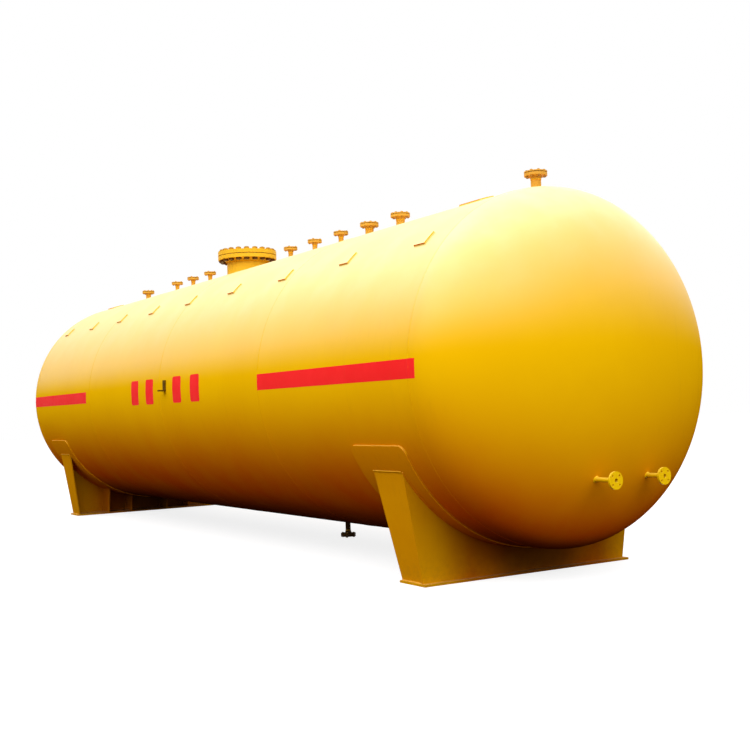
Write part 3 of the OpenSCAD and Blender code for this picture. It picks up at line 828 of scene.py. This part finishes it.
def saddle_welds(end):
    """Fillets between the plates of one saddle."""
    mesh = bmesh.new()
    wear_plate_edge(mesh, end + "_wear_plate")
    ribs_low, ribs_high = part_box(end + "_saddle_ribs")
    web_low, web_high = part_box(end + "_saddle_web")
    away = Vector((1 if end == "near" else -1, 0, 0))
    base_low, base_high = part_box(end + "_base_plate")
    if end == "near":
        web_inner, web_outer = web_low.x, web_high.x
        edge_foot, edge_top = base_low.x + RIB_INSET, ribs_low.x
    else:
        web_inner, web_outer = web_high.x, web_low.x
        edge_foot, edge_top = base_high.x - RIB_INSET, ribs_high.x
    floor = web_low.z
    seat_r = AXIS_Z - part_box(end + "_wear_plate")[0].z
    top_y, top_z = ribs_high.y, ribs_high.z
    end_foot_y = base_high.y - END_INSET
    slope = Vector((0, top_y - end_foot_y, top_z - floor)).normalized()

    def rib_edge(z):
        """Inner edge of the ribs and end plates, which leans out with height."""
        return edge_foot + (edge_top - edge_foot) * (z - floor) / (top_z - floor)

    for x, face in ((web_inner, -away), (web_outer, away)):
        reach = math.asin((AXIS_Z - top_z) / seat_r)
        angles = arc_angles(math.pi + reach, 2 * math.pi - reach, seat_r)
        weld(mesh, [on_shell(x, a, seat_r) for a in angles], [outward(a) for a in angles],
             fillet_section(SADDLE_LEG), wall=face)
    foot = end_foot_y - END_PLATE_T
    weld_line(mesh, Vector((web_inner, -foot, floor)), Vector((web_inner, foot, floor)), UP, -away)
    for y in RIB_PLACES:
        for side in (-1, 1):
            face = Vector((0, side, 0))
            at_y = y + side * RIB_T / 2
            head_z = AXIS_Z - math.sqrt(seat_r ** 2 - at_y ** 2)
            low_edge, low_web = Vector((edge_foot, at_y, floor)), Vector((web_inner, at_y, floor))
            top_edge = Vector((rib_edge(head_z), at_y, head_z))
            top_web = Vector((web_inner, at_y, head_z))
            radial = (top_web - Vector((web_inner, 0, AXIS_Z))).normalized()
            weld_line(mesh, low_edge, low_web, UP, face)
            weld_line(mesh, low_web, top_web, -away, face)
            weld_line(mesh, top_edge, top_web, radial, face)
    for side in (-1, 1):
        lean = Vector((0, side * slope.y, slope.z))
        outer = Vector((0, side * slope.z, -slope.y))
        across = END_PLATE_T / slope.z
        for face, shift in ((outer, 0), (-outer, -across)):
            foot_y = end_foot_y + shift
            low_edge = Vector((edge_foot, side * foot_y, floor))
            low_web = Vector((web_inner, side * foot_y, floor))
            rise = (top_z - floor) / slope.z
            weld_line(mesh, low_edge, low_web, UP, face)
            if shift:
                weld_line(mesh, low_web, low_web + lean * rise * END_WELD_SHARE, -away, face)
            angle = -math.acos((top_y + shift) / seat_r)
            top = Vector((0, side * seat_r * math.cos(angle), AXIS_Z + seat_r * math.sin(angle)))
            radial = Vector((0, side * math.cos(angle), math.sin(angle)))
            top_edge = Vector((rib_edge(top.z), top.y, top.z))
            weld_line(mesh, top_edge, Vector((web_inner, top.y, top.z)), radial, face)
    new_piece(end + "_saddle_welds", mesh, shaded_saddle_paint, crease=WELD_CREASE)


for end in ("near", "far"):
    saddle_welds(end)


# Studs and nuts, as (stud radius, thread pitch, nut across flats, nut height, stud past the nut)

NOZZLE_BOLT = (0.008, 0.002, 0.024, 0.008, 0.003)
MANHOLE_BOLT = (0.0195, 0.004, 0.060, 0.026, 0.005)
NUT_STEPS = 24
STUD_STEPS = 16
CHAMFER_SLOPE = math.tan(math.radians(30))
WASHER_SHARE = 0.95
THREAD_DEPTH = 0.6
THREAD_TURNS = 4
STICK_OUT_SPREAD = (0.75, 1.2)


def hex_nut(mesh, place, flats, height, spin):
    """Hexagon nut along Z with both faces chamfered to the washer circle."""
    inner = flats / 2
    washer_r = inner * WASHER_SHARE
    rings = [], [], [], []
    for step in range(NUT_STEPS):
        angle = 2 * math.pi * step / NUT_STEPS
        folded = (angle % (math.pi / 3)) - math.pi / 6
        reach = inner / math.cos(folded)
        drop = (reach - washer_r) * CHAMFER_SLOPE
        levels = ((0, washer_r), (drop, reach), (height - drop, reach), (height, washer_r))
        turned = angle + spin
        for ring, (z, radius) in zip(rings, levels):
            corner = Vector((radius * math.cos(turned), radius * math.sin(turned), z))
            ring.append(mesh.verts.new(place + corner))
    for first, second in zip(rings, rings[1:]):
        for step in range(NUT_STEPS):
            after = (step + 1) % NUT_STEPS
            mesh.faces.new((first[step], first[after], second[after], second[step]))
    mesh.faces.new(rings[0])
    mesh.faces.new(rings[-1])


def stud(mesh, place, radius, pitch, length):
    """Stud along Z with turned thread crests at both ends."""
    root = radius - THREAD_DEPTH * pitch
    end = [(0, 0), (0, root)]
    for turn in range(THREAD_TURNS):
        end += [((turn + 0.5) * pitch, radius), ((turn + 1) * pitch, root)]
    end.append(((THREAD_TURNS + 0.5) * pitch, radius))
    profile = end + [(length - height, ring) for height, ring in reversed(end)]
    lathe(mesh, profile, STUD_STEPS, Matrix.Translation(place))


def bolt_ring(upper, lower, studs, x, count, circle_r, low, high, bolt):
    """Studs through a flange and its cover between two heights, with a nut at each end."""
    radius, pitch, flats, nut_h, stick_out = bolt
    for i in range(count):
        angle = 2 * math.pi * (i + 0.5) / count
        place = Vector((x + circle_r * math.cos(angle), circle_r * math.sin(angle), 0))
        spare = stick_out * rng.uniform(*STICK_OUT_SPREAD)
        bottom = low - nut_h - spare
        stud(studs, place + bottom * UP, radius, pitch, high + nut_h + stick_out - bottom)
        hex_nut(upper, place + high * UP, flats, nut_h, rng.uniform(0, math.pi / 3))
        hex_nut(lower, place + (low - nut_h) * UP, flats, nut_h, rng.uniform(0, math.pi / 3))


def bolting():
    """Bolting of the nozzles and the drain, then of the manhole."""
    upper, lower, studs = bmesh.new(), bmesh.new(), bmesh.new()
    for node in TOP_NOZZLES:
        x, size = flange_size(node)
        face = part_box(node)[1].z
        low = face - RAISED_H - FLANGE_T[size]
        bolt_ring(upper, lower, studs, x, *BOLTS_OF[size], low, face + GASKET_T + BLANK_T, NOZZLE_BOLT)
    x, size = flange_size("drain_nozzle")
    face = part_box("drain_nozzle")[0].z
    thick = RAISED_H + FLANGE_T[size]
    bolt_ring(lower, lower, studs, x, *BOLTS_OF[size], face - GASKET_T - BLANK_T, face + thick, NOZZLE_BOLT)
    new_piece("nozzle_nuts", upper, nozzle_nut_paint, crease=NUT_CREASE)
    new_piece("nozzle_lower_nuts", lower, nozzle_nut_paint, crease=NUT_CREASE)
    new_piece("nozzle_studs", studs, stud_metal, crease=STUD_CREASE)
    upper, lower, studs = bmesh.new(), bmesh.new(), bmesh.new()
    x, size = flange_size("manhole_neck")
    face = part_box("manhole_neck")[1].z
    thick = RAISED_H + FLANGE_T[size]
    bolt_ring(upper, lower, studs, x, *MANHOLE_BOLTS, face - thick, face + GASKET_T + thick, MANHOLE_BOLT)
    new_piece("manhole_nuts", upper, nut_paint, crease=NUT_CREASE)
    # The nuts under the flange take the dark copy of the nut paint: painted shade
    new_piece("manhole_lower_nuts", lower, shaded_nut_paint, crease=NUT_CREASE)
    new_piece("manhole_studs", studs, stud_metal, crease=STUD_CREASE)


bolting()


# Red markings on both sides, as a skin of paint that follows the shell and climbs over its seams

def seam_rise(x):
    """Height of the paint over a seam's crown at a place along the vessel."""
    rise = 0.0
    for seam in SEAMS:
        share = (x - seam) / SEAM_HALF_W
        if abs(share) < 1:
            rise = MARKING_SEAM_RISE * math.sqrt(1 - share ** 2)
    return rise


def marking(mesh, side, x_low, x_high, z_low, z_high, corner_r=0.0):
    """Closed skin between two places along the vessel and two heights from its axis, with round corners."""
    count = math.ceil((x_high - x_low) / MARKING_STEP)
    columns = {x_low + (x_high - x_low) * i / count for i in range(count + 1)}
    for seam in SEAMS:
        for i in range(-MARKING_ARCS - 1, MARKING_ARCS + 2):
            columns.add(seam + SEAM_HALF_W * i / MARKING_ARCS)
    for i in range(MARKING_ARCS + 1):
        columns |= {x_low + corner_r * i / MARKING_ARCS, x_high - corner_r * i / MARKING_ARCS}
    columns = sorted(x for x in columns if x_low <= x <= x_high)
    rows = MARKING_ROWS
    layers = []
    for lift in (-MARKING_T, MARKING_T):
        grid = []
        for x in columns:
            inset = max(corner_r - (x - x_low), corner_r - (x_high - x), 0)
            trim = corner_r - math.sqrt(max(corner_r ** 2 - inset ** 2, 0))
            radius = outer_radius(x) + lift + (seam_rise(x) if lift > 0 else 0)
            low, high = z_low + trim, z_high - trim
            heights = [low + (high - low) * row / rows for row in range(rows + 1)]
            grid.append([mesh.verts.new((x, side * math.sqrt(radius ** 2 - z ** 2), AXIS_Z + z))
                         for z in heights])
        layers.append(grid)
    inner, outer = layers
    last = len(columns) - 1
    for grid in layers:
        for i in range(last):
            for j in range(rows):
                mesh.faces.new((grid[i][j], grid[i + 1][j], grid[i + 1][j + 1], grid[i][j + 1]))
    for i in range(last):
        for j in (0, rows):
            mesh.faces.new((inner[i][j], inner[i + 1][j], outer[i + 1][j], outer[i][j]))
    for j in range(rows):
        for i in (0, last):
            mesh.faces.new((inner[i][j], inner[i][j + 1], outer[i][j + 1], outer[i][j]))


def markings():
    """Bands and blocks on the front and the back."""
    for side, face in ((-1, "front"), (1, "back")):
        mesh = bmesh.new()
        for x_low, x_high in BAND_ENDS:
            marking(mesh, side, x_low, x_high, BAND_LOW, BAND_HIGH)
        new_piece(face + "_bands", mesh, marking_paint)
        mesh = bmesh.new()
        for x in BLOCK_PLACES:
            x_low, x_high = x - BLOCK_W / 2, x + BLOCK_W / 2
            marking(mesh, side, x_low, x_high, -BLOCK_H / 2, BLOCK_H / 2, BLOCK_CORNER_R)
        new_piece(face + "_blocks", mesh, marking_paint)


markings()


# Studio: floor, soft lamps, pale surround and camera

FLOOR_SIZE = 160.0
FLOOR_GLOW = 0.80
FLOOR_PALE = (0.36, 0.36, 0.36, 1.0)
FLOOR_BOUNCE = (0.060, 0.020, 0.006, 1.0)
SKY_HIGH = (1.05, 1.05, 1.03, 1.0)
SKY_LOW = (0.42, 0.41, 0.39, 1.0)
SKY_RISE = 0.8
WHITE = (1.0, 1.0, 1.0, 1.0)

# Lamps, as (name, place, target, width, height, brightness)
LAMPS = (
    ("overhead_lamp", (2, -2, 12), (2, 0, 2), 24, 18, 1.1),
    ("left_lamp", (6, -17, 12), (3, 0, 2), 24, 9, 2.3),
    ("front_lamp", (21, -4, 11), (4, 0, 2), 18, 10, 2.85),
    ("back_lamp", (-2, 17, 12), (0, 0, 2), 30, 9, 1.0),
)


def seen_directly(tree):
    """One for camera, mirror and glass rays, zero for the rays that carry soft light."""
    path = tree.nodes.new("ShaderNodeLightPath").outputs
    seen = math_node(tree, "MAXIMUM", path["Is Camera Ray"], path["Is Glossy Ray"])
    return math_node(tree, "MAXIMUM", seen, path["Is Transmission Ray"])


def studio_floor():
    """Floor that is seen pale, with the tank's shadow, and throws back little light."""
    material, tree, shader = new_material("studio_floor")
    tree.nodes.remove(shader)
    glow = put(tree, "ShaderNodeEmission", None, {"Strength": FLOOR_GLOW}).outputs[0]
    pale = put(tree, "ShaderNodeBsdfDiffuse", None, {"Color": FLOOR_PALE}).outputs[0]
    bounce = put(tree, "ShaderNodeBsdfDiffuse", None, {"Color": FLOOR_BOUNCE}).outputs[0]
    bright = put(tree, "ShaderNodeAddShader", None, {0: glow, 1: pale}).outputs[0]
    mixed = put(tree, "ShaderNodeMixShader", None,
                {0: seen_directly(tree), 1: bounce, 2: bright}).outputs[0]
    tree.links.new(mixed, tree.nodes["Material Output"].inputs["Surface"])
    mesh = bmesh.new()
    bmesh.ops.create_grid(mesh, x_segments=1, y_segments=1, size=FLOOR_SIZE / 2)
    data = bpy.data.meshes.new("studio_floor")
    mesh.to_mesh(data)
    mesh.free()
    data.materials.append(material)
    floor = bpy.data.objects.new("studio_floor", data)
    bpy.context.scene.collection.objects.link(floor)


def surround():
    """White where it is seen, and a sky that brightens with height where it lights."""
    world = bpy.data.worlds.new("studio_surround")
    bpy.context.scene.world = world
    world.use_nodes = True
    tree = world.node_tree
    fill = tree.nodes["Background"]
    height = along_axis(tree, tree.nodes.new("ShaderNodeTexCoord").outputs["Generated"], "Z")
    sky = mix_colour(tree, ramp(tree, height, 0.0, SKY_RISE), SKY_LOW, SKY_HIGH)
    tree.links.new(sky, fill.inputs["Color"])
    white = put(tree, "ShaderNodeBackground", None, {"Color": WHITE, "Strength": 1.0}).outputs[0]
    mixed = put(tree, "ShaderNodeMixShader", None,
                {0: seen_directly(tree), 1: fill.outputs[0], 2: white}).outputs[0]
    tree.links.new(mixed, tree.nodes["World Output"].inputs["Surface"])


def soft_lamp(name, place, target, width, height, radiance):
    """Large soft lamp of a given brightness, turned to its target."""
    data = bpy.data.lights.new(name, "AREA")
    data.shape = "RECTANGLE"
    data.size = width
    data.size_y = height
    data.energy = math.pi * width * height * radiance
    lamp = bpy.data.objects.new(name, data)
    lamp.location = place
    lamp.rotation_euler = (Vector(target) - Vector(place)).to_track_quat("-Z", "Y").to_euler()
    lamp.visible_camera = False
    bpy.context.scene.collection.objects.link(lamp)


def studio_camera():
    """Camera at the picture's place, turned by its heading, tilt and roll."""
    yaw, pitch, roll = (math.radians(v) for v in (CAMERA_YAW, CAMERA_PITCH, CAMERA_ROLL))
    forward = Vector((math.cos(yaw) * math.cos(pitch), math.sin(yaw) * math.cos(pitch), math.sin(pitch)))
    level = Vector((math.sin(yaw), -math.cos(yaw), 0))
    above = level.cross(forward)
    right = math.cos(roll) * level + math.sin(roll) * above
    upright = math.cos(roll) * above - math.sin(roll) * level
    data = bpy.data.cameras.new("studio_camera")
    data.sensor_width = SENSOR_W
    data.lens = CAMERA_LENS
    camera = bpy.data.objects.new("studio_camera", data)
    turn = Matrix((right, upright, -forward)).transposed().to_4x4()
    camera.matrix_world = Matrix.Translation(CAMERA_PLACE) @ turn
    bpy.context.scene.collection.objects.link(camera)
    bpy.context.scene.camera = camera


studio_floor()
surround()
for lamp in LAMPS:
    soft_lamp(*lamp)
studio_camera()
bpy.context.scene.view_settings.view_transform = "Standard"
